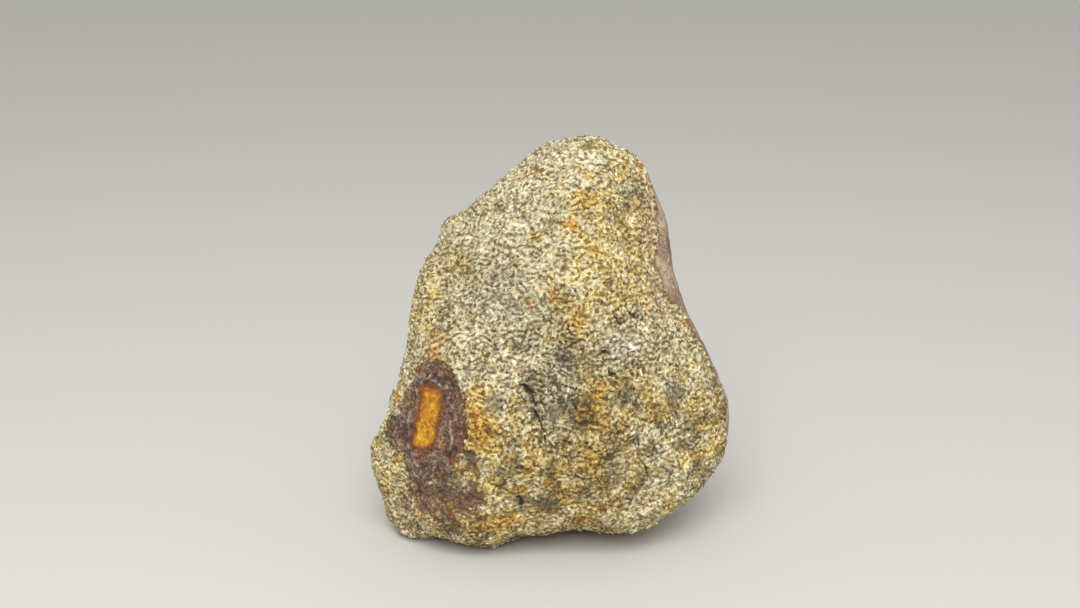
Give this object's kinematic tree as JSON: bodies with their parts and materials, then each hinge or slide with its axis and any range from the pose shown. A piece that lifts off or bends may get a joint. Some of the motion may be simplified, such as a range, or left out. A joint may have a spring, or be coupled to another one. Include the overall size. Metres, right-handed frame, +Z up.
{
  "type": "stony meteorite",
  "caption": "Loose wedge-shaped stony meteorite with rough granular broken faces, a recessed rust-zoned eye and a smooth weathered crust, resting on a small flat spot.",
  "frame": {"origin": "middle of the bounding box at the resting plane, under the stone", "axes": "+Z up, -Y out of the broad broken face with the rust-zoned eye, +X to the right of a viewer who looks at that face"},
  "size_m": [0.0396, 0.0278, 0.0431],
  "materials": {
    "broken_rock": "dull granular cream and grey broken rock with ochre stains, a rust-zoned eye and mauve-brown weathered crust"
  },
  "bodies": {
    "root": {"stone": "broken_rock"}
  },
  "joints": []
}
